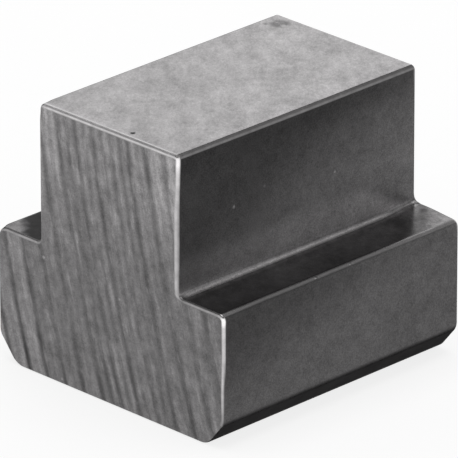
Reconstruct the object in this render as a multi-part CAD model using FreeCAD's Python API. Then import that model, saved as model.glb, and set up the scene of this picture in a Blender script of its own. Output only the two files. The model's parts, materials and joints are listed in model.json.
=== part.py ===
import FreeCAD, Part
import math
import os

# The blank of a t-slot nut: one length of T-shaped bright steel bar, sawn off square at both ends.
# Lengths are in millimetres. X runs across the slot, Y along it and Z up out of it.
# The origin is the middle of the underside, which the blank stands on.

# The slot that the neck slides in, and how much narrower the neck is
slot_width = 22.0
slot_clearance = 0.4

# The bar's section
base_width = 35.0
base_height = 16.0
neck_height = 16.5

# The slope along each lower edge of the base: how far it reaches in, and how far up
chamfer_width = 2.6
chamfer_height = 3.2

# Roundings that the drawing die leaves along the bar
chamfer_foot_radius = 2.0
chamfer_top_radius = 1.5
shoulder_edge_radius = 0.8
inner_fillet_radius = 0.5
top_edge_radius = 0.6

# The sawn length, and the rounding that deburring leaves round each sawn face
nut_length = 36.5
end_edge_radius = 0.28

# Sizes that follow from those above
neck_width = slot_width - slot_clearance
total_height = base_height + neck_height

# The most of a straight side that one rounding may take up, so that two on a side never meet
largest_share_of_side = 0.45

# The most of a corner's radius that the end rounding may take up as it turns round that corner:
# past half of it, the rounded surface would cross itself
largest_share_of_corner = 0.48

# How near to an end's plane an edge has to lie to belong to that end
end_tolerance = 1e-6


def right_half_corners():
    """Corners of the section's right half from the underside to the top: x, z and rounding."""
    half_base = base_width / 2
    half_neck = neck_width / 2
    return [
        (half_base - chamfer_width, 0.0, chamfer_foot_radius),
        (half_base, chamfer_height, chamfer_top_radius),
        (half_base, base_height, shoulder_edge_radius),
        (half_neck, base_height, inner_fillet_radius),
        (half_neck, total_height, top_edge_radius),
    ]


def section_corners():
    """The whole section, anticlockwise: the right half, then its mirror image back down."""
    right = right_half_corners()
    left = [(-x, z, radius) for x, z, radius in reversed(right)]
    return right + left


def rounding(before, corner, after, radius):
    """Start, middle and end of the arc that rounds a corner and touches both of its sides."""
    towards_before = before - corner
    towards_after = after - corner
    half_angle = towards_before.getAngle(towards_after) / 2
    shorter_side = min(towards_before.Length, towards_after.Length)
    reach = min(radius / math.tan(half_angle), largest_share_of_side * shorter_side)
    arc_radius = reach * math.tan(half_angle)
    towards_before.normalize()
    towards_after.normalize()
    bisector = towards_before + towards_after
    bisector.normalize()
    middle_distance = arc_radius / math.sin(half_angle) - arc_radius
    start = corner + towards_before * reach
    middle = corner + bisector * middle_distance
    end = corner + towards_after * reach
    return start, middle, end


def section_wire():
    """The closed outline of the section: straight sides joined by tangent arcs."""
    corners = section_corners()
    points = [FreeCAD.Vector(x, 0, z) for x, z, radius in corners]
    arcs = []
    for index, (x, z, radius) in enumerate(corners):
        after = points[(index + 1) % len(points)]
        arcs.append(rounding(points[index - 1], points[index], after, radius))
    edges = []
    for index, (start, middle, end) in enumerate(arcs):
        previous_end = arcs[index - 1][2]
        edges.append(Part.LineSegment(previous_end, start).toShape())
        edges.append(Part.Arc(start, middle, end).toShape())
    return Part.Wire(edges)


def cut_bar():
    """The bar sawn to length, its ends still sharp, with its middle over the origin."""
    section = Part.Face(section_wire())
    section.translate(FreeCAD.Vector(0, -nut_length / 2, 0))
    return section.extrude(FreeCAD.Vector(0, nut_length, 0))


def end_edges(bar):
    """Every edge that lies in the plane of a sawn end."""
    found = []
    for edge in bar.Edges:
        box = edge.BoundBox
        flat = box.YLength < end_tolerance
        at_end = abs(abs(box.YMin) - nut_length / 2) < end_tolerance
        if flat and at_end:
            found.append(edge)
    return found


def nut_blank():
    """The finished blank: the bar with both sawn ends deburred all the way round."""
    bar = cut_bar()
    outer_radii = (chamfer_foot_radius, chamfer_top_radius, shoulder_edge_radius, top_edge_radius)
    end_rounding = min(end_edge_radius, largest_share_of_corner * min(outer_radii))
    return bar.makeFillet(end_rounding, end_edges(bar))


def write_part(name, shape):
    """Writes one solid to parts/NAME.step and prints its size and volume."""
    shape.exportStep(os.path.join("parts", name + ".step"))
    box = shape.optimalBoundingBox()
    print(f"{name}: {box.XLength:.2f} x {box.YLength:.2f} x {box.ZLength:.2f} mm, "
          f"{shape.Volume / 1000:.2f} cm3, valid {shape.isValid()}")


os.makedirs("parts", exist_ok=True)
write_part("nut_blank", nut_blank())
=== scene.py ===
import json
import logging
import math
from dataclasses import dataclass
from enum import IntEnum

import bmesh
import bpy
from mathutils import Matrix, Vector
from mathutils.kdtree import KDTree


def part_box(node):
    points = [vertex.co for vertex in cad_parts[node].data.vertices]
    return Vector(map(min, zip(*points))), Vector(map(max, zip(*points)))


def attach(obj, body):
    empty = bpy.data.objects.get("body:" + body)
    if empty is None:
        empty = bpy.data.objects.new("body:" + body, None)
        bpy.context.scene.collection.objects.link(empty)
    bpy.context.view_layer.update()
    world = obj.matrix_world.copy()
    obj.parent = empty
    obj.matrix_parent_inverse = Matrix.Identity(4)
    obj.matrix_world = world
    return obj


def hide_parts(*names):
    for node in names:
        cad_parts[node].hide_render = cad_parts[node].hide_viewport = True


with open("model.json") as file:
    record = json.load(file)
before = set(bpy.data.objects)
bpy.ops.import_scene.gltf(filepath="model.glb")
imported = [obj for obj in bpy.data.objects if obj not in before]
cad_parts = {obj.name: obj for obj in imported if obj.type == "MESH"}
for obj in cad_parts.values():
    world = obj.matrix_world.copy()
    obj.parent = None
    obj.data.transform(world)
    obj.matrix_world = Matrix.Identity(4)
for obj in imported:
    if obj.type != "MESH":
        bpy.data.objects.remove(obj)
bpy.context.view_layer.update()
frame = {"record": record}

# One millimetre in the scene's metres
MM = 0.001

# The photograph is square, this many pixels a side
PHOTO_SIDE = 458

# The mesh attribute that holds how bright each point is from edge scuffing and painted highlights
SCUFF_AND_HIGHLIGHT_ATTRIBUTE = "worn_and_highlit"

# The steel's own colour, nearly grey, and how matt it is where its edges are bright
STEEL_TINT = (1.016, 0.991, 1.001, 1.0)
RUBBED_ROUGHNESS = 0.25

# The sides that the painted shade on the drawn skin is laid out on: the height of the upper edge,
# the side's own height and its length, in millimetres
NECK_SIDE = (32.5, 16.5, 36.5)
BASE_SIDE = (16.0, 13.0, 36.0)

# How near counts as on an end's plane, at a corner, on a cut, and on an edge's rounding
END_TOLERANCE = 0.001 * MM
CORNER_TOLERANCE = 0.01 * MM
CUT_TOLERANCE = 0.002 * MM
ARC_TOLERANCE = 0.03 * MM

# How far from an end its rim's wear is looked for
RIM_REACH = 2 * MM

# How squarely a face has to look along the bar, or up, to be of an end, the top, the top beside
# its rounded edges, or a shoulder
SQUARE_TO_END = 0.7
SQUARE_TO_TOP = 0.7
SQUARE_BESIDE_EDGE = 0.98
SQUARE_TO_SHOULDER = 0.995

log = logging.getLogger("t_slot_nut")


class Zone(IntEnum):
    """The kinds of surface on the blank, each with its own finish and material index."""

    DRAWN = 0
    TOP = 1
    SAWN = 2
    SHOULDER = 3


@dataclass(frozen=True)
class Ramp:
    """A line through a few points, level before the first and after the last.

    Attributes:
        points: Place and value of each point, in order.
    """

    points: tuple[tuple[float, float], ...]

    def at(self, place: float) -> float:
        """The line's value at a place.

        Args:
            place: The place.

        Returns:
            The value there.
        """
        if place <= self.points[0][0]:
            return self.points[0][1]
        for (start, low), (end, high) in zip(self.points, self.points[1:]):
            if place <= end:
                return low + (high - low) * (place - start) / (end - start)
        return self.points[-1][1]


@dataclass(frozen=True)
class Corner:
    """One corner of the section and the arc that rounds it.

    Attributes:
        x: Place across the slot.
        z: Height above the underside.
        radius: Radius of the arc.
        segments: Straight pieces that the arc is made of.
    """

    x: float
    z: float
    radius: float
    segments: int


@dataclass(frozen=True)
class Arc:
    """The arc of one rounded corner.

    Attributes:
        corner: The corner that it rounds.
        reach: How far along each side it starts.
        centre: Its centre, across and up.
        middle: Direction from its centre to its middle.
        half_turn: Half of the angle that it turns through, less than 0 in a hollow corner.
    """

    corner: Corner
    reach: float
    centre: Vector
    middle: Vector
    half_turn: float

    def tilt(self, x: float, z: float, tolerance: float) -> float:
        """How far from straight up the arc faces at a point of the section.

        Args:
            x: The point's place across the slot.
            z: Its height.
            tolerance: How far off the arc it may lie.

        Returns:
            The angle in degrees, or 0 anywhere off the arc.
        """
        spoke = Vector((x, z)) - self.centre
        off_arc = abs(spoke.length - self.corner.radius) > tolerance
        if off_arc or spoke.angle(self.middle) > 1.01 * abs(self.half_turn):
            return 0.0
        return math.degrees(spoke.angle(Vector((0.0, 1.0))))


@dataclass(frozen=True)
class EdgeScuffAndHighlight:
    """How bright a long edge is, scuffed and with a painted highlight.

    Attributes:
        around: Its brightness, by how many degrees from straight up its rounding faces.
        along: A factor for that, by place along the bar in millimetres.
    """

    around: Ramp
    along: Ramp


@dataclass(frozen=True)
class Rim:
    """How bright the rim of a sawn end is, scuffed and with a painted highlight.

    Attributes:
        brightness: Its brightness, by place round the section.
        profiles: By place round the section, the share of that brightness across the rim, in
            millimetres from the sawn face's side of its rounding. They blend in between.
    """

    brightness: Ramp
    profiles: tuple[tuple[float, Ramp], ...]

    def at(self, place: float, across: float) -> float:
        """How bright a point of the rim is rubbed.

        Args:
            place: Its place round the section.
            across: Its place across the rim, in millimetres.

        Returns:
            Its brightness.
        """
        share = Ramp(tuple((start, profile.at(across)) for start, profile in self.profiles))
        return self.brightness.at(place) * share.at(place)


@dataclass(frozen=True)
class Wave:
    """One regular part of the saw's marks.

    Attributes:
        pitch: Distance from one mark to the next.
        share: How much it lightens and darkens the steel, as a share of its brightness.
        phase: Where it stands at the marks' middle radius, in radians.
    """

    pitch: float
    share: float
    phase: float


@dataclass(frozen=True)
class SawMarks:
    """The arcs that a circular saw leaves on a cut end.

    Attributes:
        centre_x: Centre of the arcs across the slot.
        centre_z: Height of that centre.
        middle: Radius that the waves are counted from, near the middle of an end.
        depth: Depth of the deepest mark.
        waves: The regular parts of the pattern.
    """

    centre_x: float = 198.27 * MM
    centre_z: float = 62.0 * MM
    middle: float = 198.0 * MM
    depth: float = 0.02 * MM
    waves: tuple[Wave, ...] = (
        Wave(1.379 * MM, 0.084, -0.16),
        Wave(2.713 * MM, 0.083, -1.25),
        Wave(4.241 * MM, 0.035, -2.87),
        Wave(3.027 * MM, 0.030, -3.07),
        Wave(8.944 * MM, 0.029, -1.31),
        Wave(2.496 * MM, 0.022, 0.39),
        Wave(1.298 * MM, 0.020, -1.31),
    )

    def total(self) -> float:
        """The waves' shares added up."""
        return sum(wave.share for wave in self.waves)

    def height(self, x: float, z: float) -> float:
        """How deep the marks are at a point of an end.

        Args:
            x: The point's place across the slot.
            z: Its height.

        Returns:
            The depth below the end's plane, from 0 to the full depth.
        """
        radius = math.hypot(x - self.centre_x, z - self.centre_z) - self.middle
        waves = (w.share * math.sin(2 * math.pi * radius / w.pitch + w.phase) for w in self.waves)
        return self.depth * (0.5 + 0.5 * sum(waves) / self.total())


@dataclass(frozen=True)
class Dent:
    """A small hollow or bump on the surface.

    Attributes:
        place: Its middle.
        push: Which way, and how far, its middle moves.
        radius: How far from its middle the surface still moves.
    """

    place: Vector
    push: Vector
    radius: float


@dataclass(frozen=True)
class Mark:
    """A small patch of another brightness.

    Attributes:
        place: Its middle.
        reach: How far from its middle it ends.
        core: How far from its middle it is at full strength.
        depth: Share of the brightness that it takes away, less than 0 for a lighter mark.
        broken: Whether it is broken up into smaller spots.
    """

    place: tuple[float, float, float]
    reach: float
    core: float
    depth: float
    broken: bool = False


class Graph:
    """A node tree, with short ways to add nodes and join them."""

    def __init__(self, tree: bpy.types.NodeTree) -> None:
        """Starts with a tree that has no nodes.

        Args:
            tree: The tree to fill.
        """
        self.tree = tree
        tree.nodes.clear()

    def add(self, kind: str, **settings: object) -> bpy.types.Node:
        """Adds a node.

        Args:
            kind: The node's type, without its ShaderNode prefix where it has one.
            settings: Values for the node's own properties.

        Returns:
            The new node.
        """
        prefix = "" if kind.startswith("NodeGroup") else "ShaderNode"
        node = self.tree.nodes.new(prefix + kind)
        for name, value in settings.items():
            setattr(node, name, value)
        return node

    def put(self, socket: bpy.types.NodeSocket, value: object) -> None:
        """Joins an output to an input, or writes a plain value on it.

        Args:
            socket: The input.
            value: An output socket, or a number, colour or vector.
        """
        if isinstance(value, bpy.types.NodeSocket):
            self.tree.links.new(value, socket)
        else:
            socket.default_value = value

    def fed(self, kind: str, values: tuple[object, ...], **settings: object) -> bpy.types.Node:
        """Adds a node and fills its inputs in order.

        Args:
            kind: As for add.
            values: What its inputs get.
            settings: As for add.

        Returns:
            The new node.
        """
        node = self.add(kind, **settings)
        for socket, value in zip(node.inputs, values):
            self.put(socket, value)
        return node

    def filled(self, kind: str, inputs: dict[str, object], **settings: object) -> bpy.types.Node:
        """Adds a node and fills its inputs by name.

        Args:
            kind: As for add.
            inputs: The name of each input and what it gets.
            settings: As for add.

        Returns:
            The new node.
        """
        node = self.add(kind, **settings)
        for name, value in inputs.items():
            self.put(node.inputs[name], value)
        return node

    def math(self, operation: str, *values: object) -> bpy.types.NodeSocket:
        """Adds a Math node.

        Args:
            operation: Its operation.
            values: Its inputs, in order.

        Returns:
            Its result.
        """
        return self.fed("Math", values, operation=operation).outputs[0]

    def times(self, first: object, *others: object) -> object:
        """Multiplies values one after another.

        Args:
            first: The first value.
            others: What it is multiplied by, in order.

        Returns:
            The product.
        """
        for other in others:
            first = self.math("MULTIPLY", first, other)
        return first

    def between(self, mask: object, first: object, second: object) -> bpy.types.NodeSocket:
        """Goes from one number to another.

        Args:
            mask: How much of the second there is.
            first: The number where the mask is 0.
            second: The number where it is 1.

        Returns:
            The number in between.
        """
        return self.math("MULTIPLY_ADD", self.math("SUBTRACT", second, first), mask, first)

    def vector(self, operation: str, *values: object) -> bpy.types.NodeSocket:
        """Adds a Vector Math node.

        Args:
            operation: Its operation.
            values: Its inputs, in order.

        Returns:
            Its result: the number of a distance, or else the vector.
        """
        node = self.fed("VectorMath", values, operation=operation)
        return node.outputs["Value" if operation == "DISTANCE" else "Vector"]

    def split(self, vector: object) -> tuple[bpy.types.NodeSocket, ...]:
        """Takes a vector apart.

        Args:
            vector: The vector.

        Returns:
            Its x, y and z.
        """
        return tuple(self.fed("SeparateXYZ", (vector,)).outputs)

    def combine(self, *values: object) -> bpy.types.NodeSocket:
        """Puts a vector together.

        Args:
            values: Its x, y and z, up to the last that isn't 0.

        Returns:
            The vector.
        """
        return self.fed("CombineXYZ", values).outputs[0]

    def near(self, place: object, centre: tuple[float, float, float], reach: float,
             core: float = 0.0) -> bpy.types.NodeSocket:
        """A soft round patch.

        Args:
            place: Object coordinates.
            centre: The patch's middle.
            reach: How far from it the patch ends.
            core: How far from it the patch is at full strength.

        Returns:
            1 in the patch's middle, falling to 0 at its reach.
        """
        distance = self.vector("DISTANCE", place, centre)
        return self.spread(distance, core, reach, 1.0, 0.0)

    def noise(self, coordinates: object, scale: float, detail: float = 2.0,
              roughness: float = 0.5) -> bpy.types.NodeSocket:
        """Adds a Noise Texture.

        Args:
            coordinates: Where it is read.
            scale: Its scale, in features a metre.
            detail: How many finer layers it has.
            roughness: How strong they are.

        Returns:
            Its value, from 0 to 1 with a mean near 0.5.
        """
        return self.filled("TexNoise", {"Vector": coordinates, "Scale": scale, "Detail": detail,
                                        "Roughness": roughness}).outputs["Fac"]

    def spread(self, value: object, low: float, high: float, new_low: float = 0.0,
               new_high: float = 1.0) -> bpy.types.NodeSocket:
        """Stretches a range of values over another, smoothly at both ends.

        Args:
            value: The value.
            low: What becomes new_low.
            high: What becomes new_high.
            new_low: The result at and below low.
            new_high: The result at and above high.

        Returns:
            The stretched value.
        """
        inputs = {"Value": value, "From Min": low, "From Max": high, "To Min": new_low,
                  "To Max": new_high}
        node = self.filled("MapRange", inputs, interpolation_type="SMOOTHSTEP")
        return node.outputs["Result"]

    def blend(self, factor: object, first: object, second: object,
              kind: str) -> bpy.types.NodeSocket:
        """Mixes two colours.

        Args:
            factor: How much of the second.
            first: The first colour.
            second: The second colour.
            kind: How they are mixed.

        Returns:
            The mixed colour.
        """
        node = self.filled("Mix", {"Factor": factor, "A": first, "B": second},
                           data_type="RGBA", blend_type=kind)
        return next(s for s in node.outputs if s.type == "RGBA")


def grey(value: float) -> tuple[float, float, float, float]:
    """A plain grey.

    Args:
        value: Its brightness.

    Returns:
        Red, green, blue and an alpha of 1.
    """
    return value, value, value, 1.0


class SharedGroups:
    """The effects that several finishes use, each a node group that is built once."""

    def __init__(self) -> None:
        """Builds the groups."""
        self.grain = self._grain()
        self.wear_and_sheen = self._wear_and_highlights()
        self.saw = self._saw(SawMarks())

    @staticmethod
    def _new(name: str, inputs: tuple[tuple[str, str, object], ...],
             outputs: tuple[str, ...]) -> tuple[bpy.types.NodeTree, Graph, object, object]:
        """Starts a node group.

        Args:
            name: The group's name.
            inputs: The name, socket type and default of each input.
            outputs: The name of each output, all of them numbers.

        Returns:
            The group, its graph, and its input and output nodes.
        """
        tree = bpy.data.node_groups.new(name, "ShaderNodeTree")
        for label, kind, default in inputs:
            socket = tree.interface.new_socket(label, in_out="INPUT", socket_type=kind)
            if default is not None:
                socket.default_value = default
        for label in outputs:
            tree.interface.new_socket(label, in_out="OUTPUT", socket_type="NodeSocketFloat")
        graph = Graph(tree)
        return tree, graph, graph.add("NodeGroupInput"), graph.add("NodeGroupOutput")

    def _grain(self) -> bpy.types.NodeTree:
        """Steel grain of every size from a tenth of a millimetre up, over broad clouds.

        Returns:
            The group. Its Tone has a mean of 1, and its Height runs from 0 to 1.
        """
        tree, graph, given, result = self._new(
            "steel grain",
            (("Vector", "NodeSocketVector", None),
             ("Grain", "NodeSocketFloat", 0.1),
             ("Fine", "NodeSocketFloat", 0.1),
             ("Cloud", "NodeSocketFloat", 0.1)),
            ("Tone", "Height"),
        )
        place = given.outputs["Vector"]
        grain = graph.noise(place, 500.0, 4.0, 0.9)
        fine = graph.noise(place, 7000.0, 1.0, 0.8)
        cloud = graph.noise(place, 110.0, 2.0, 0.5)
        tone = 1.0
        for pattern, strength in ((grain, "Grain"), (fine, "Fine"), (cloud, "Cloud")):
            centred = graph.math("SUBTRACT", pattern, 0.5)
            tone = graph.math("MULTIPLY_ADD", centred, given.outputs[strength], tone)
        graph.put(result.inputs["Tone"], tone)
        graph.put(result.inputs["Height"], grain)
        return tree

    def _wear_and_highlights(self) -> bpy.types.NodeTree:
        """Bright metal where the rims and long edges are scuffed, with painted highlights.

        Returns:
            The group. It takes the steel's brightness and gives it back with the scuffed edges and
            their painted highlights, with a mask of where they are bright.
        """
        tree, graph, given, result = self._new(
            "worn edges",
            (("Vector", "NodeSocketVector", None),
             ("Brightness", "NodeSocketFloat", 0.1),
             ("Worn and highlit", "NodeSocketFloat", 0.0)),
            ("Brightness", "Rubbed"),
        )
        place = given.outputs["Vector"]
        bright = given.outputs["Brightness"]
        uneven = graph.math("MULTIPLY_ADD", graph.noise(place, 900.0, 3.0, 0.6), 0.7, 0.65)
        worn_and_highlit = graph.math("MULTIPLY", given.outputs["Worn and highlit"], uneven)
        graph.put(result.inputs["Brightness"], graph.math("MAXIMUM", bright, worn_and_highlit))
        graph.put(result.inputs["Rubbed"], graph.spread(worn_and_highlit, 0.1, 0.5))
        return tree

    def _saw(self, marks: SawMarks) -> bpy.types.NodeTree:
        """The saw's arcs on the two cut ends.

        Args:
            marks: The arcs' centre and waves.

        Returns:
            The group. Its Tone has a mean of 1, and its Height runs from 0 to 1.
        """
        tree, graph, given, result = self._new(
            "saw marks", (("Vector", "NodeSocketVector", None),), ("Tone", "Height"))
        place = given.outputs["Vector"]
        flat = graph.vector("MULTIPLY", place, (1.0, 0.0, 1.0))
        radius = graph.vector("DISTANCE", flat, (marks.centre_x, 0.0, marks.centre_z))
        radius = graph.math("SUBTRACT", radius, marks.middle)
        wander = graph.math("SUBTRACT", graph.noise(place, 60.0, 1.0), 0.5)
        radius = graph.math("MULTIPLY_ADD", wander, 0.3 * MM, radius)
        total = 0.0
        for wave in marks.waves:
            angle = graph.math("MULTIPLY_ADD", radius, 2 * math.pi / wave.pitch, wave.phase)
            sine = graph.math("SINE", angle)
            total = graph.math("MULTIPLY_ADD", sine, wave.share, total)
        strength = graph.spread(graph.noise(place, 180.0, 2.0), 0.3, 0.7, 1.1, 2.3)
        up = graph.split(place)[2]
        deeper = graph.math("ADD", graph.spread(up, 2.0 * MM, 8.0 * MM, 1.3, 0.72),
                            graph.spread(up, 15.0 * MM, 25.0 * MM, 0.0, 0.40))
        total = graph.times(total, graph.times(strength, deeper))
        stretched = graph.combine(graph.times(radius, 1.0 / (0.7 * MM)),
                                  graph.times(up, 1.0 / (4.0 * MM)))
        streaks = graph.noise(stretched, 1.0, 2.5, 0.6)
        total = graph.math("MULTIPLY_ADD", graph.math("SUBTRACT", streaks, 0.5), 0.48, total)
        total = graph.math("ADD", total, graph.spread(streaks, 0.5, 0.72, -0.07, 0.22))
        graph.put(result.inputs["Tone"], graph.math("ADD", total, 1.0))
        graph.put(result.inputs["Height"], graph.math("ADD", total, 0.5))
        return tree


@dataclass(frozen=True)
class SteelFinish:
    """Bare steel with a grain. The other finishes start from it.

    Attributes:
        name: The material's name.
        brightness: The steel's mean grey.
        roughness: How matt it is.
        glance: How much of its reflection is left at a flat angle.
        grain: Strength of its grain.
        fine: Strength of its finest speckle.
        cloud: Strength of its broad patches.
        bump: Height of the grain.
        marks: Its stains and specks, and small patches of painted light and shade.
        stretch: How much longer its grain is along the diagonal from front right to back left.
    """

    name: str = "steel"
    brightness: float = 0.4
    roughness: float = 0.4
    glance: float = 1.0
    grain: float = 0.5
    fine: float = 0.2
    cloud: float = 0.1
    bump: float = 0.003 * MM
    marks: tuple[Mark, ...] = ()
    stretch: float = 1.0

    def pattern(self, graph: Graph, groups: SharedGroups, place: object) -> tuple[object, object]:
        """The steel's grain over the surface.

        Args:
            graph: The material's graph.
            groups: The shared groups.
            place: Object coordinates.

        Returns:
            A factor for the brightness with a mean of 1, and a height from 0 to 1.
        """
        if self.stretch != 1.0:
            across, along, up = graph.split(place)
            half = math.sqrt(0.5)
            place = graph.combine(
                graph.times(graph.math("ADD", across, along), half),
                graph.times(graph.math("SUBTRACT", along, across), half / self.stretch), up)
        inputs = {"Vector": place, "Grain": self.grain, "Fine": self.fine, "Cloud": self.cloud}
        node = graph.filled("Group", inputs, node_tree=groups.grain)
        return node.outputs["Tone"], node.outputs["Height"]

    def shading(self, graph: Graph, place: object) -> object:
        """The steel's brightness before its grain, with any light and shade painted into it.

        Args:
            graph: The material's graph.
            place: Object coordinates.

        Returns:
            A number, or a socket that gives one.
        """
        return self.brightness

    def marked(self, graph: Graph, place: object) -> object:
        """The steel's brightness with its stains, specks and painted patches of light and shade.

        Args:
            graph: The material's graph.
            place: Object coordinates.

        Returns:
            A number, or a socket that gives one.
        """
        bright = self.shading(graph, place)
        for mark in self.marks:
            mask = graph.near(place, mark.place, mark.reach, mark.core)
            if mark.broken:
                spots = graph.spread(graph.noise(place, 900.0, 3.0, 0.7), 0.30, 0.46)
                mask = graph.times(mask, spots)
            bright = graph.times(bright, graph.math("MULTIPLY_ADD", mask, -mark.depth, 1.0))
        return bright

    def material(self, groups: SharedGroups) -> bpy.types.Material:
        """Builds the material.

        Args:
            groups: The shared groups.

        Returns:
            The material.
        """
        material = bpy.data.materials.new(self.name)
        material.use_nodes = True
        graph = Graph(material.node_tree)
        place = graph.add("TexCoord").outputs["Object"]
        tone, height = self.pattern(graph, groups, place)
        # The edges' scuffing and painted highlights, as the mesh holds them
        rubbed_and_highlit = graph.add("Attribute", attribute_name=SCUFF_AND_HIGHLIGHT_ATTRIBUTE).outputs["Fac"]
        inputs = {"Vector": place, "Worn and highlit": rubbed_and_highlit,
                  "Brightness": graph.times(self.marked(graph, place), tone)}
        wear_and_sheen = graph.filled("Group", inputs, node_tree=groups.wear_and_sheen)
        bump = graph.filled("Bump", {"Strength": 1.0, "Distance": self.bump, "Height": height})
        surface = graph.filled("BsdfPrincipled", {
            "Metallic": 1.0,
            "Specular Tint": grey(self.glance),
            "Base Color": graph.blend(1.0, STEEL_TINT, wear_and_sheen.outputs["Brightness"], "MULTIPLY"),
            "Roughness": graph.math("MULTIPLY_ADD", wear_and_sheen.outputs["Rubbed"],
                                    RUBBED_ROUGHNESS - self.roughness, self.roughness),
            "Normal": bump.outputs["Normal"],
        })
        graph.filled("OutputMaterial", {"Surface": surface.outputs["BSDF"]})
        return material


@dataclass(frozen=True)
class DrawnFinish(SteelFinish):
    """The drawn sides' dark skin, with painted shade deepest near the front of their upper edges.
    """

    name: str = "drawn skin"
    roughness: float = 0.45
    glance: float = 0.35
    grain: float = 1.0
    fine: float = 1.25
    cloud: float = 0.3
    marks: tuple[Mark, ...] = (
        Mark((10.8 * MM, 5.6 * MM, 23.62 * MM), 0.22 * MM, 0.05 * MM, -1.2),
        Mark((10.8 * MM, -5.23 * MM, 25.22 * MM), 0.25 * MM, 0.05 * MM, -0.7),
        Mark((10.68 * MM, -9.82 * MM, 24.14 * MM), 0.30 * MM, 0.08 * MM, -1.8),
    )

    @staticmethod
    def _diagonal(graph: Graph, along: object, up: object,
                  side: tuple[float, float, float]) -> bpy.types.NodeSocket:
        """Where a point lies between two opposite corners of a side.

        Args:
            graph: The material's graph.
            along: The point's place along the bar.
            up: Its height.
            side: The side's upper edge, height and length, in millimetres.

        Returns:
            -1 at the upper near corner, 0 in the middle and 1 at the lower far corner.
        """
        top, height, length = side
        down = graph.math("MULTIPLY_ADD", up, -1.0 / (height * MM), top / height + 0.5 - 1.0)
        return graph.math("MULTIPLY_ADD", along, 1.0 / (length * MM), down)

    def shading(self, graph: Graph, place: object) -> object:
        """Painted shade and light on the neck's and base's sides, their fillet and the dark lower
        slope.
        """
        across, along, up = graph.split(place)
        # Painted shade: the neck's side is darker towards its upper near corner
        neck = graph.spread(self._diagonal(graph, along, up, NECK_SIDE), -0.45, 0.55, 0.047, 0.123)
        # Painted light: the neck's foot is lighter, and the higher the point, the sooner that ends
        # along the bar
        past = graph.math("MULTIPLY_ADD", up, 1.67, along)
        foot = graph.times(graph.spread(up, 17.0 * MM, 21.5 * MM, 1.40, 0.0),
                           graph.spread(past, 42.0 * MM, 45.4 * MM, 1.0, 0.0))
        neck = graph.times(neck, graph.math("ADD", foot, 1.0),
                           graph.spread(up, 28.0 * MM, 31.5 * MM, 1.0, 0.83))
        # Painted shade: the base's side is darker towards its upper near corner, and darker still
        # on the slope
        base = graph.times(
            graph.spread(self._diagonal(graph, along, up, BASE_SIDE), -0.80, 0.08, 0.056, 0.106),
            graph.spread(up, 2.9 * MM, 3.6 * MM, 0.36, 1.0))
        # Painted light: the fillet's lower half is lighter, from a little past the near end
        aside = graph.math("ABSOLUTE", across)
        lower = graph.times(
            graph.math("MAXIMUM", graph.spread(up, 16.08 * MM, 16.3 * MM, 1.7, 0.0),
                       graph.spread(aside, 10.86 * MM, 11.12 * MM, 0.0, 1.7)),
            graph.spread(aside, 12.0 * MM, 13.0 * MM, 1.0, 0.0),
            graph.spread(along, -17.9 * MM, -16.9 * MM, 0.0, 1.0))
        fillet = graph.times(graph.spread(along, -18.0 * MM, 18.0 * MM, 0.20, 0.15),
                             graph.math("ADD", lower, 1.0))
        side = graph.between(graph.spread(up, 15.85 * MM, 15.98 * MM), base, fillet)
        return graph.between(graph.spread(up, 16.3 * MM, 16.8 * MM), side, neck)


@dataclass(frozen=True)
class TopFinish(SteelFinish):
    """The pale top, with a stain, a darker patch at its near left corner and a small pit."""

    name: str = "top face"
    brightness: float = 0.495
    roughness: float = 0.42
    grain: float = 1.50
    fine: float = 0.55
    cloud: float = 0.5
    stretch: float = 1.8
    marks: tuple[Mark, ...] = (
        Mark((-8.2 * MM, 16.3 * MM, 32.5 * MM), 1.5 * MM, 0.7 * MM, 0.48, True),
        Mark((-9.35 * MM, 15.15 * MM, 32.5 * MM), 0.45 * MM, 0.1 * MM, 0.40),
        Mark((-10.0 * MM, -14.3 * MM, 32.5 * MM), 3.0 * MM, 0.0, 0.10),
        Mark((2.55 * MM, -17.05 * MM, 32.5 * MM), 0.36 * MM, 0.2 * MM, 0.93),
    )

    def shading(self, graph: Graph, place: object) -> object:
        """The pale steel, slightly lighter towards the far end and the right."""
        across, along, _ = graph.split(place)
        distant = graph.math("MULTIPLY_ADD", across, 0.6, along)
        return graph.spread(distant, -18.0 * MM, 18.0 * MM, self.brightness - 0.035,
                            self.brightness + 0.02)


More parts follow.
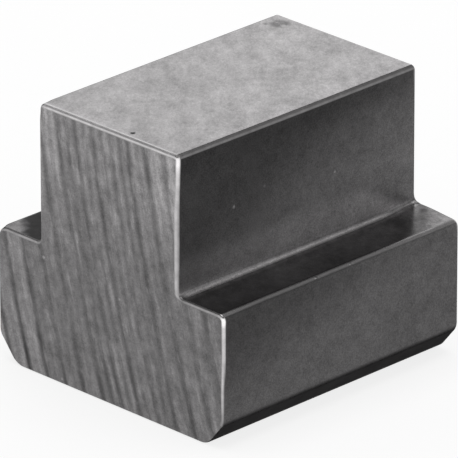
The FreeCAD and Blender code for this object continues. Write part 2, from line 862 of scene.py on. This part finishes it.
@dataclass(frozen=True)
class SawnFinish(SteelFinish):
    """A sawn end, streaked by the saw's teeth and paler towards the top."""

    name: str = "sawn end"
    brightness: float = 0.172
    roughness: float = 0.42
    grain: float = 1.5
    fine: float = 0.75
    cloud: float = 0.2
    marks: tuple[Mark, ...] = (
        Mark((-10.31 * MM, -18.25 * MM, 14.34 * MM), 0.28 * MM, 0.08 * MM, -1.1),
        # A painted shadow to the lower left of the bright speck above
        Mark((-10.5 * MM, -18.25 * MM, 13.9 * MM), 0.40 * MM, 0.10 * MM, 0.25),
        Mark((1.51 * MM, -18.25 * MM, 13.03 * MM), 0.25 * MM, 0.05 * MM, -0.7),
        Mark((-7.59 * MM, -18.25 * MM, 0.63 * MM), 0.25 * MM, 0.05 * MM, -0.7),
    )

    def pattern(self, graph: Graph, groups: SharedGroups, place: object) -> tuple[object, object]:
        """As for plain steel, with the saw's streaks over it."""
        tone, height = super().pattern(graph, groups, place)
        node = graph.filled("Group", {"Vector": place}, node_tree=groups.saw)
        height = graph.math("MULTIPLY_ADD", height, 0.3, node.outputs["Height"])
        return graph.times(tone, node.outputs["Tone"]), height

    def shading(self, graph: Graph, place: object) -> object:
        """Darkest a third of the way up, paler at the top's corners and at the lower left."""
        across, _, up = graph.split(place)
        risen = graph.spread(up, 12.0 * MM, 31.0 * MM, 0.0, 0.048)
        outward = graph.times(across, across, graph.spread(up, 19.0 * MM, 31.0 * MM, 0.0, 520.0))
        left = graph.times(graph.spread(across, -17.0 * MM, -6.0 * MM, 0.034, 0.0),
                           graph.spread(up, 3.0 * MM, 12.0 * MM, 1.0, 0.35))
        right = graph.times(graph.spread(across, 1.0 * MM, 9.0 * MM, 0.0, 0.030),
                            graph.spread(up, 18.0 * MM, 27.0 * MM))
        foot = graph.spread(up, 0.0, 13.0 * MM, -0.006, 0.0)
        total = self.brightness
        for part in (risen, outward, left, right, foot):
            total = graph.math("ADD", total, part)
        return total


@dataclass(frozen=True)
class ShoulderFinish(SteelFinish):
    """The shoulders' smooth faces, which mirror the neck's sides."""

    name: str = "shoulder face"
    brightness: float = 0.42
    roughness: float = 0.24
    glance: float = 0.6
    grain: float = 1.8
    fine: float = 0.5
    cloud: float = 1.0
    bump: float = 0.001 * MM
    marks: tuple[Mark, ...] = (
        Mark((13.29 * MM, 17.09 * MM, 16.2 * MM), 0.8 * MM, 0.2 * MM, 0.45),
        # A painted light patch at the right shoulder's far end
        Mark((12.0 * MM, 15.2 * MM, 16.1 * MM), 2.4 * MM, 0.5 * MM, -0.6),
    )

    def shading(self, graph: Graph, place: object) -> object:
        """Painted reflection and shade: darker towards the neck, and dark at the left shoulder's
        front.
        """
        across, along, _ = graph.split(place)
        diagonal = graph.math("ADD", across, along)
        # Painted reflection of the neck's far part
        # Lighter where the shoulder mirrors the neck's far part from the photograph's angle
        image = graph.math("MULTIPLY_ADD", across, 2.02, along)
        image = graph.times(graph.spread(image, 37.0 * MM, 40.5 * MM, 0.0, 1.1),
                            graph.spread(across, 13.5 * MM, 17.0 * MM, 1.0, 0.35),
                            graph.spread(diagonal, 28.0 * MM, 30.2 * MM, 1.0, 0.0))
        # Painted reflection of the neck's dark side, darkest beside it, and painted light by the
        # fillet
        right = graph.times(graph.spread(diagonal, 28.5 * MM, 33.5 * MM, 0.155, self.brightness),
                            graph.spread(across, 11.2 * MM, 12.1 * MM, 2.8, 1.0),
                            graph.math("ADD", image, 1.0))
        # Painted shade at the left shoulder's front, with a wandering edge
        wander = graph.math("SUBTRACT", graph.noise(place, 700.0, 3.0, 0.6), 0.5)
        diagonal = graph.math("MULTIPLY_ADD", wander, 2.5 * MM, diagonal)
        beside = graph.spread(diagonal, -33.4 * MM, -30.4 * MM)
        front = graph.near(place, (-14.2 * MM, -16.5 * MM, 16.0 * MM), 11.0 * MM, 3.8 * MM)
        left = graph.spread(graph.times(beside, front), 0.0, 1.0, 0.28, 0.030)
        return graph.between(graph.math("GREATER_THAN", across, 0.0), left, right)


# The finish of each kind of surface
FINISHES = {
    Zone.DRAWN: DrawnFinish(),
    Zone.TOP: TopFinish(),
    Zone.SAWN: SawnFinish(),
    Zone.SHOULDER: ShoulderFinish(),
}


# The scuffed long edges and their painted highlights, by their corner's number
TOP_EDGE = EdgeScuffAndHighlight(
    Ramp(((10.0, 0.0), (16.0, 0.20), (36.0, 0.18), (44.0, 0.20), (68.0, 0.205), (76.0, 0.07),
          (82.0, 0.0))),
    Ramp(((0.0, 1.0),)))
SHOULDER_EDGE = EdgeScuffAndHighlight(
    Ramp(((0.0, 0.0), (8.0, 0.38), (28.0, 0.38), (44.0, 0.13), (54.0, 0.0))),
    Ramp(((-18.0, 1.6), (-14.0, 1.0), (5.0, 1.0), (12.0, 1.35), (18.0, 1.6))))
LONG_EDGES = {2: SHOULDER_EDGE, 4: TOP_EDGE, 5: TOP_EDGE}

# The scuffing and painted highlight across a rim, in millimetres from the sawn face's side of its
# rounding
UPRIGHT_RIM = Ramp(((-0.12, 0.0), (0.0, 0.6), (0.1, 0.97), (0.22, 1.0), (0.34, 0.97), (0.44, 0.6),
                    (0.58, 0.0)))
LEVEL_RIM = Ramp(((-0.2, 0.0), (0.0, 1.0), (0.15, 1.0), (0.3, 0.2), (0.44, 0.0)))
TOP_RIM = Ramp(((-0.3, 0.0), (-0.2, 0.3), (0.0, 1.0), (0.1, 0.8), (0.22, 0.3), (0.38, 0.3),
                (0.44, 0.9), (0.56, 1.0), (0.84, 0.0)))
BASE_FOOT_RIM = Ramp(((-0.22, 0.0), (-0.08, 0.75), (0.04, 1.0), (0.15, 0.9), (0.26, 0.4),
                      (0.36, 0.0)))
NECK_FOOT_RIM = Ramp(((-0.4, 0.0), (-0.26, 0.8), (-0.12, 1.0), (0.08, 0.95), (0.24, 0.7),
                      (0.38, 0.5), (0.46, 0.25), (0.54, 0.0)))
NECK_HEAD_RIM = Ramp(((-0.12, 0.0), (0.02, 0.75), (0.14, 1.0), (0.34, 0.97), (0.44, 0.75),
                      (0.54, 0.35), (0.62, 0.0)))

# The scuffed rims of the sawn ends and their painted highlights, by place round the section: 2.5
# is halfway from the right shoulder's outer corner to the right fillet, 4 and 5 are the top's
# corners
RIM = Rim(
    Ramp((
        (0.0, 0.0), (0.9, 0.1), (1.0, 0.30), (1.15, 0.46), (1.4, 0.57), (1.75, 0.55),
        (1.88, 0.66), (1.94, 1.2), (1.99, 1.1), (2.01, 0.45), (2.2, 0.29), (2.85, 0.31),
        (2.98, 0.22), (3.02, 0.46), (3.2, 0.52), (3.5, 0.53), (3.8, 0.62), (3.9, 0.74),
        (3.95, 1.10), (3.99, 0.90), (4.02, 0.62), (4.97, 0.62), (5.0, 0.45), (5.03, 0.25),
        (5.9, 0.15), (6.1, 0.33), (6.9, 0.33), (7.0, 0.25), (7.1, 0.12), (8.0, 0.05),
        (10.0, 0.0),
    )),
    (
        (0.9, BASE_FOOT_RIM), (1.35, BASE_FOOT_RIM), (1.6, UPRIGHT_RIM), (1.99, UPRIGHT_RIM),
        (2.01, LEVEL_RIM), (2.99, LEVEL_RIM), (3.01, NECK_FOOT_RIM), (3.6, NECK_FOOT_RIM),
        (3.88, NECK_HEAD_RIM), (3.99, NECK_HEAD_RIM), (4.01, TOP_RIM), (4.99, TOP_RIM),
        (5.01, UPRIGHT_RIM), (5.99, UPRIGHT_RIM), (6.01, LEVEL_RIM), (6.99, LEVEL_RIM),
        (7.01, UPRIGHT_RIM),
    ),
)


# Where the neck's right side is eased in, by place across, along and up, in millimetres
EASE_ACROSS = Ramp(((9.0, 0.0), (10.5, 1.0), (11.4, 1.0), (13.0, 0.0)))
EASE_ALONG = Ramp(((-18.3, 1.0), (-14.0, 0.8), (-8.0, 0.4), (-3.0, 0.12), (2.0, 0.0)))
EASE_UP = Ramp(((15.8, 0.0), (16.3, 0.7), (17.0, 1.0), (28.0, 1.0), (32.5, 0.6)))


@dataclass
class NutBlank:
    """The blank: one T-shaped drawn bar, sawn off at both ends and deburred.

    Attributes:
        node: The solid that it stands for.
        chamfer_width: How far each lower edge's slope reaches in.
        chamfer_height: How far up that slope reaches.
        foot_radius: Rounding where the slope meets the underside.
        slope_radius: Rounding where the slope meets the side.
        shoulder_radius: Rounding of the shoulders' outer edges.
        fillet_radius: Rounding where the neck meets a shoulder.
        top_radius: Rounding of the top's long edges.
        end_radius: Rounding round each sawn end.
        end_segments: Straight pieces across that rounding.
        rim_inside: How far the scuffing and painted highlight round a sawn end reach into its face.
        rim_outside: Where they change on the sides, counted from that rounding.
        far_end_rim_share: How much of the near end's bright rim the far end has.
        grid: Size of the faces that the flat sides are cut into.
        outline_step: Distance between the points that stand for the section's outline.
        corner_span: How far the place round the section runs to either side of a corner's number
            along that corner's arc.
        front_ease: How far in the neck's right side lies at its front edge.
    """

    node: str = "nut_blank"
    chamfer_width: float = 2.6 * MM
    chamfer_height: float = 3.2 * MM
    foot_radius: float = 2.0 * MM
    slope_radius: float = 1.5 * MM
    shoulder_radius: float = 0.8 * MM
    fillet_radius: float = 0.5 * MM
    top_radius: float = 0.6 * MM
    end_radius: float = 0.28 * MM
    end_segments: int = 6
    rim_inside: float = 0.4 * MM
    rim_outside: tuple[float, ...] = (0.12 * MM, 0.4 * MM)
    far_end_rim_share: float = 0.3
    grid: float = 0.5 * MM
    outline_step: float = 0.05 * MM
    corner_span: float = 0.03
    front_ease: float = 0.26 * MM

    def __post_init__(self) -> None:
        """Takes the overall sizes from the solid and from its mounts."""
        low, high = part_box(self.node)
        mounts = {mount["name"]: mount["pos_m"] for mount in frame["record"]["mounts"]}
        self.half_base: float = high.x
        self.half_length: float = high.y
        self.top: float = high.z
        self.half_neck: float = mounts["neck_right"][0]
        self.shoulder: float = mounts["shoulder_right"][2]
        self.arcs: list[Arc] = self._arcs()

    def corners(self) -> list[Corner]:
        """The section's corners, anticlockwise from the foot of the right slope."""
        right = [
            Corner(self.half_base - self.chamfer_width, 0.0, self.foot_radius, 8),
            Corner(self.half_base, self.chamfer_height, self.slope_radius, 4),
            Corner(self.half_base, self.shoulder, self.shoulder_radius, 9),
            Corner(self.half_neck, self.shoulder, self.fillet_radius, 6),
            Corner(self.half_neck, self.top, self.top_radius, 9),
        ]
        left = [Corner(-c.x, c.z, c.radius, c.segments) for c in reversed(right)]
        return right + left

    def _arcs(self) -> list[Arc]:
        """The arc that rounds each corner."""
        corners = self.corners()
        arcs = []
        for index, corner in enumerate(corners):
            here = Vector((corner.x, corner.z))
            before, after = corners[index - 1], corners[(index + 1) % len(corners)]
            back = (Vector((before.x, before.z)) - here).normalized()
            on = (Vector((after.x, after.z)) - here).normalized()
            half_angle = back.angle(on) / 2
            inward = (back + on).normalized()
            centre = here + inward * (corner.radius / math.sin(half_angle))
            reach = corner.radius / math.tan(half_angle)
            half_turn = math.copysign(math.pi / 2 - half_angle, -back.cross(on))
            arcs.append(Arc(corner, reach, centre, -inward, half_turn))
        return arcs

    def bar(self) -> bmesh.types.BMesh:
        """The sharp-edged bar, sawn to length.

        Returns:
            A new mesh whose end faces are SAWN.
        """
        bm = bmesh.new()
        flat = self.half_length - self.end_radius
        places = [(c.x, -flat, c.z) for c in self.corners()]
        end = bm.faces.new([bm.verts.new(place) for place in places])
        grown = bmesh.ops.extrude_face_region(bm, geom=[end], use_keep_orig=True)
        moved = [item for item in grown["geom"] if isinstance(item, bmesh.types.BMVert)]
        bmesh.ops.translate(bm, verts=moved, vec=(0.0, 2 * flat, 0.0))
        bmesh.ops.recalc_face_normals(bm, faces=bm.faces)
        for face in bm.faces:
            if abs(face.normal.y) > SQUARE_TO_END:
                face.material_index = Zone.SAWN
        return bm

    def round_long_edges(self, bm: bmesh.types.BMesh) -> None:
        """Rounds the section's corners along the bar.

        Args:
            bm: The bar.
        """
        for arc in self.arcs:
            corner = Vector((arc.corner.x, 0.0, arc.corner.z))
            edges = []
            for edge in bm.edges:
                middle = (edge.verts[0].co + edge.verts[1].co) / 2
                if (middle - corner).length < CORNER_TOLERANCE:
                    edges.append(edge)
            made = bmesh.ops.bevel(
                bm, geom=edges, affect="EDGES", offset_type="OFFSET", offset=arc.reach,
                segments=arc.corner.segments, profile=0.5, material=-1, clamp_overlap=False,
            )
            for face in made["faces"]:
                face.material_index = Zone.DRAWN

    def break_ends(self, bm: bmesh.types.BMesh) -> None:
        """Grows a quarter-round rim out of both ends, up to the planes of the sawn faces.

        Args:
            bm: The bar, its long edges already round.
        """
        turns = [math.pi / 2 * step / self.end_segments for step in range(self.end_segments + 1)]
        for face in [face for face in bm.faces if face.material_index == Zone.SAWN]:
            for before, after in zip(turns, turns[1:]):
                made = bmesh.ops.inset_individual(
                    bm, faces=[face], use_even_offset=True,
                    thickness=self.end_radius * (math.cos(before) - math.cos(after)),
                    depth=self.end_radius * (math.sin(after) - math.sin(before)),
                )
                for ring in made["faces"]:
                    ring.material_index = Zone.DRAWN
            bmesh.ops.inset_individual(bm, faces=[face], use_even_offset=True,
                                       thickness=self.rim_inside)

    def _at_end(self, place: Vector) -> bool:
        """Whether a point lies in the plane of a sawn end."""
        return abs(abs(place.y) - self.half_length) < END_TOLERANCE

    def cut_grid(self, bm: bmesh.types.BMesh) -> None:
        """Cuts every side into small faces, and the sawn ends into ones half that size.

        Args:
            bm: The rounded bar.
        """
        flat = self.half_length - self.end_radius
        beside_rim = [side * (flat - step) for side in (-1, 1) for step in self.rim_outside]
        spans = ((0, -self.half_base, self.half_base, []), (2, 0.0, self.top, []),
                 (1, -self.half_length, self.half_length, beside_rim))
        for axis, low, high, extra in spans:
            normal = Vector((0.0, 0.0, 0.0))
            normal[axis] = 1.0
            cuts = round((high - low) / self.grid)
            places = [low + (high - low) * index / cuts for index in range(1, cuts)]
            for distance in places + extra:
                place = normal * distance
                everything = bm.verts[:] + bm.edges[:] + bm.faces[:]
                bmesh.ops.bisect_plane(bm, geom=everything, dist=CUT_TOLERANCE, plane_co=place,
                                       plane_no=normal)
        edges = {e for f in bm.faces if f.material_index == Zone.SAWN for e in f.edges}
        bmesh.ops.subdivide_edges(bm, edges=list(edges), cuts=1, use_grid_fill=True)

    def dents(self) -> list[Dent]:
        """The small marks that handling has left."""
        up = Vector((0.0, 0.0, 1.0))
        out = Vector((1.0, 0.0, 0.0))
        outer = Vector((self.half_base, 0.0, self.shoulder))
        inset = (out + up) * self.shoulder_radius * (1 - math.sqrt(0.5))
        top_edge = Vector((self.half_neck, 0.0, self.top))
        return [
            Dent(Vector((2.55 * MM, -17.05 * MM, self.top)), -up * 0.12 * MM, 0.28 * MM),
            Dent(top_edge + Vector((0, 7.0 * MM, 0)), -(up + out) * 0.05 * MM, 0.6 * MM),
            Dent(outer - inset + Vector((0, -3.7 * MM, 0)), (out + up) * 0.06 * MM, 0.4 * MM),
            Dent(outer - inset + Vector((0, 1.6 * MM, 0)), (out + up) * 0.05 * MM, 0.4 * MM),
            Dent(Vector((-17.35 * MM, -18.25 * MM, 15.85 * MM)), (out - up) * 0.17 * MM, 1.3 * MM),
            Dent(Vector((10.7 * MM, -18.15 * MM, 32.4 * MM)),
                 Vector((-0.09, 0.09, -0.04)) * MM, 2.0 * MM),
            Dent(Vector((-10.7 * MM, -18.25 * MM, 32.3 * MM)),
                 Vector((0.10, 0.03, -0.05)) * MM, 2.0 * MM),
            Dent(Vector((11.8 * MM, 18.25 * MM, self.shoulder)), up * 0.35 * MM, 6.0 * MM),
            Dent(Vector((11.1 * MM, 18.25 * MM, 16.5 * MM)), (out + up) * 0.14 * MM, 0.9 * MM),
        ]

    def press(self, bm: bmesh.types.BMesh, dent: Dent) -> None:
        """Refines the mesh round a dent and moves it.

        Args:
            bm: The cut bar.
            dent: The dent.
        """
        if dent.radius < 4 * self.grid:
            near = [e for e in bm.edges
                    if min((v.co - dent.place).length for v in e.verts) < 1.5 * dent.radius]
            bmesh.ops.subdivide_edges(bm, edges=near, cuts=3, use_grid_fill=True)
        for vert in bm.verts:
            distance = (vert.co - dent.place).length / dent.radius
            if distance < 1.0:
                vert.co += dent.push * (1 - distance * distance) ** 2

    def ease_front_edge(self, bm: bmesh.types.BMesh) -> None:
        """Brings the neck's right side in a little towards its front edge.

        Args:
            bm: The cut bar.
        """
        for vert in bm.verts:
            across, along, up = vert.co / MM
            share = EASE_ACROSS.at(across) * EASE_ALONG.at(along) * EASE_UP.at(up)
            vert.co.x -= share * self.front_ease

    def saw_ends(self, bm: bmesh.types.BMesh, marks: SawMarks) -> None:
        """Cuts the saw's marks into both ends.

        Args:
            bm: The cut bar.
            marks: The marks.
        """
        for vert in bm.verts:
            if self._at_end(vert.co):
                depth = marks.height(vert.co.x, vert.co.z)
                vert.co.y -= math.copysign(depth, vert.co.y)

    def outline(self) -> tuple[KDTree, list[float]]:
        """Points close together round the rounded section.

        Returns:
            The points, with 0 for their y, and for each the corner that it lies at or after: 2.5
            is halfway from corner 2 to corner 3.
        """
        points, places = [], []
        for index, arc in enumerate(self.arcs):
            after = self.arcs[(index + 1) % len(self.arcs)]
            here = Vector((arc.corner.x, arc.corner.z))
            on = Vector((after.corner.x, after.corner.z))
            length = (on - here).length
            side = (on - here) / length
            steps = math.ceil(length / self.outline_step)
            for step in range(steps):
                along = length * step / steps
                if arc.reach < along < length - after.reach:
                    points.append(here + side * along)
                    places.append(index + step / steps)
            turns = math.ceil(2 * abs(arc.half_turn) * arc.corner.radius / self.outline_step)
            for turn in range(turns + 1):
                share = 2 * turn / turns - 1
                angle = math.atan2(arc.middle.y, arc.middle.x) + share * arc.half_turn
                spoke = Vector((math.cos(angle), math.sin(angle)))
                points.append(arc.centre + spoke * arc.corner.radius)
                places.append(index + self.corner_span * share)
        tree = KDTree(len(points))
        for index, point in enumerate(points):
            tree.insert((point.x, 0.0, point.y), index)
        tree.balance()
        return tree, places

    def across_rim(self, place: Vector, inward: float) -> float:
        """How far round a sawn end's rounding a point is.

        Args:
            place: The point.
            inward: How far it lies inside the section's outline.

        Returns:
            0 where the rounding leaves the sawn face and its arc's length where it meets the
            side, less than 0 on the sawn face and more on the side.
        """
        rise = abs(place.y) - (self.half_length - self.end_radius)
        if rise <= 0.0:
            return math.pi / 2 * self.end_radius - rise
        if self._at_end(place):
            return self.end_radius - inward
        return self.end_radius * math.acos(min(1.0, rise / self.end_radius))

    def edge_scuff_and_highlight(self, place: Vector) -> float:
        """How bright a point is for lying on a long edge, scuffed and with a painted highlight.

        Args:
            place: The point.

        Returns:
            Its brightness, 0 off those edges.
        """
        wear_and_sheen = 0.0
        for index, edge in LONG_EDGES.items():
            tilt = self.arcs[index].tilt(place.x, place.z, ARC_TOLERANCE)
            wear_and_sheen = max(wear_and_sheen, edge.around.at(tilt) * edge.along.at(place.y / MM))
        return wear_and_sheen

    def note_scuffs_and_highlights(self, bm: bmesh.types.BMesh) -> None:
        """Writes how bright the scuffed long edges and sawn ends' rims are with their painted
        highlights.

        Args:
            bm: The cut bar, before dents and saw marks move anything.
        """
        worn_and_highlit = bm.verts.layers.float.new(SCUFF_AND_HIGHLIGHT_ATTRIBUTE)
        tree, places = self.outline()
        for vert in bm.verts:
            wear_and_sheen = self.edge_scuff_and_highlight(vert.co)
            if self.half_length - abs(vert.co.y) < RIM_REACH:
                _, nearest, inward = tree.find((vert.co.x, 0.0, vert.co.z))
                across = self.across_rim(vert.co, inward) / MM
                share = 1.0 if vert.co.y < 0.0 else self.far_end_rim_share
                wear_and_sheen = max(wear_and_sheen, RIM.at(places[nearest], across) * share)
            vert[worn_and_highlit] = wear_and_sheen

    def zone(self, face: bmesh.types.BMFace) -> Zone:
        """The kind of surface that a face belongs to.

        Args:
            face: A face of the finished mesh.

        Returns:
            Its zone.
        """
        normal = face.normal
        if abs(normal.y) > SQUARE_TO_END:
            return Zone.SAWN
        middle = face.calc_center_median()
        beside_edge = abs(middle.x) > self.half_neck - self.top_radius
        square = SQUARE_BESIDE_EDGE if beside_edge else SQUARE_TO_TOP
        if middle.z > self.top - MM and normal.z > square:
            return Zone.TOP
        if normal.z > SQUARE_TO_SHOULDER:
            return Zone.SHOULDER
        return Zone.DRAWN

    def build(self, groups: SharedGroups) -> bpy.types.Object:
        """Makes the blank, dresses it and puts it in the frame.

        Args:
            groups: The shared node groups.

        Returns:
            The finished piece.
        """
        bm = self.bar()
        self.round_long_edges(bm)
        self.break_ends(bm)
        self.cut_grid(bm)
        bmesh.ops.recalc_face_normals(bm, faces=bm.faces)
        for face in bm.faces:
            face.smooth = True
            face.material_index = self.zone(face)
        self.note_scuffs_and_highlights(bm)
        for dent in self.dents():
            self.press(bm, dent)
        self.ease_front_edge(bm)
        self.saw_ends(bm, SawMarks())
        mesh = bpy.data.meshes.new("steel_blank")
        bm.to_mesh(mesh)
        bm.free()
        for zone in Zone:
            mesh.materials.append(FINISHES[zone].material(groups))
        piece = bpy.data.objects.new("steel_blank", mesh)
        bpy.context.scene.collection.objects.link(piece)
        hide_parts(self.node)
        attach(piece, "root")
        return piece


@dataclass
class Studio:
    """A pale floor, a white room with a dim ceiling, and a soft lamp.

    Attributes:
        floor_radius: Radius of the floor.
        floor_drop: How far the floor lies below the blank, so that they don't share a plane.
        ceiling: Brightness of the room overhead.
        glow_share: How much of the paper's white is its own, where it is seen.
        glow: How bright that white is, so that with its lit share the paper comes out white.
    """

    floor_radius: float = 3.0
    floor_drop: float = 0.02 * MM
    ceiling: float = 0.18
    glow_share: float = 0.7
    glow: float = 1.14

    def floor(self) -> bpy.types.Object:
        """Makes the floor.

        Returns:
            The floor.
        """
        bm = bmesh.new()
        bmesh.ops.create_circle(bm, cap_ends=True, radius=self.floor_radius, segments=64)
        bmesh.ops.translate(bm, verts=bm.verts, vec=(0.0, 0.0, -self.floor_drop))
        mesh = bpy.data.meshes.new("floor")
        bm.to_mesh(mesh)
        bm.free()
        mesh.materials.append(self.floor_paper())
        floor = bpy.data.objects.new("floor", mesh)
        bpy.context.scene.collection.objects.link(floor)
        return floor

    def floor_paper(self) -> bpy.types.Material:
        """White paper that camera and reflections see as white, with the shadow kept.

        Returns:
            The material.
        """
        material = bpy.data.materials.new("floor paper")
        material.use_nodes = True
        graph = Graph(material.node_tree)
        paper = graph.filled("BsdfDiffuse", {"Color": grey(0.8)})
        glow = graph.filled("Emission", {"Color": grey(1.0), "Strength": self.glow})
        path = graph.add("LightPath")
        seen = graph.math("MAXIMUM", path.outputs["Is Camera Ray"], path.outputs["Is Glossy Ray"])
        seen = graph.math("MAXIMUM", seen, path.outputs["Is Transmission Ray"])
        mix = graph.fed("MixShader", (graph.times(seen, self.glow_share), paper.outputs["BSDF"],
                                      glow.outputs["Emission"]))
        graph.filled("OutputMaterial", {"Surface": mix.outputs["Shader"]})
        return material

    def room(self) -> None:
        """Makes the room: white round the horizon, dimmer overhead."""
        world = bpy.data.worlds.new("white room")
        bpy.context.scene.world = world
        world.use_nodes = True
        graph = Graph(world.node_tree)
        height = graph.split(graph.add("TexCoord").outputs["Generated"])[2]
        white = graph.spread(height, 0.52, 0.70, 1.0, self.ceiling)
        background = graph.filled("Background", {"Color": white})
        graph.filled("OutputWorld", {"Surface": background.outputs["Background"]})

    @staticmethod
    def softbox(name: str, place: tuple[float, float, float], side: float, radiance: float) -> None:
        """Hangs a square lamp that points at the blank.

        Args:
            name: The lamp's name.
            place: Where it hangs.
            side: Length of its sides.
            radiance: How bright its face is, where white is 1.
        """
        lamp = bpy.data.lights.new(name, "AREA")
        lamp.shape = "SQUARE"
        lamp.size = side
        lamp.energy = radiance * math.pi * side * side
        holder = bpy.data.objects.new(name, lamp)
        holder.location = place
        holder.rotation_mode = "QUATERNION"
        holder.rotation_quaternion = (-Vector(place)).to_track_quat("-Z", "Y")
        holder.visible_camera = False
        bpy.context.scene.collection.objects.link(holder)

    def build(self) -> None:
        """Makes the floor, the room and the lamp."""
        self.floor()
        self.room()
        self.softbox("overhead softbox", (0.0, 0.0, 1.6), 1.2, 2.2)


@dataclass(frozen=True)
class PhotoCamera:
    """The camera that took the photograph, as fitted to the blank's edges.

    Attributes:
        azimuth: Degrees round from looking along +Y.
        elevation: Degrees above the horizon.
        roll: Degrees that it leans.
        distance: From the lens to the origin's plane.
        across: How far it is moved to its right.
        above: How far it is moved up in its own plane.
        focal_pixels: Focal length in pixels of the photograph.
    """

    azimuth: float = 45.046
    elevation: float = 23.457
    roll: float = -0.088
    distance: float = 927.312 * MM
    across: float = 0.026 * MM
    above: float = 13.987 * MM
    focal_pixels: float = 8394.661

    def build(self) -> bpy.types.Object:
        """Makes the camera and sets it as the scene's.

        Returns:
            The camera.
        """
        azimuth, elevation = math.radians(self.azimuth), math.radians(self.elevation)
        back = Vector((math.sin(azimuth) * math.cos(elevation),
                       -math.cos(azimuth) * math.cos(elevation), math.sin(elevation)))
        level = Vector((math.cos(azimuth), math.sin(azimuth), 0.0))
        turn = Matrix.Rotation(math.radians(self.roll), 3, back)
        right = turn @ level
        up = back.cross(right)
        data = bpy.data.cameras.new("camera")
        data.lens = self.focal_pixels / PHOTO_SIDE * data.sensor_width
        data.clip_start = 0.1
        data.clip_end = 10.0
        camera = bpy.data.objects.new("camera", data)
        place = right * self.across + up * self.above + back * self.distance
        axes = Matrix((right, up, back)).transposed().to_4x4()
        camera.matrix_world = Matrix.Translation(place) @ axes
        bpy.context.scene.collection.objects.link(camera)
        bpy.context.scene.camera = camera
        return camera


def main() -> None:
    """Builds the camera, the studio and the blank, in that order."""
    logging.basicConfig(level=logging.INFO, format="%(name)s: %(message)s")
    bpy.context.scene.view_settings.view_transform = "Standard"
    PhotoCamera().build()
    Studio().build()
    piece = NutBlank().build(SharedGroups())
    piece.data.calc_loop_triangles()
    log.info("%s: %d triangles", piece.name, len(piece.data.loop_triangles))


if __name__ == "__main__":
    main()
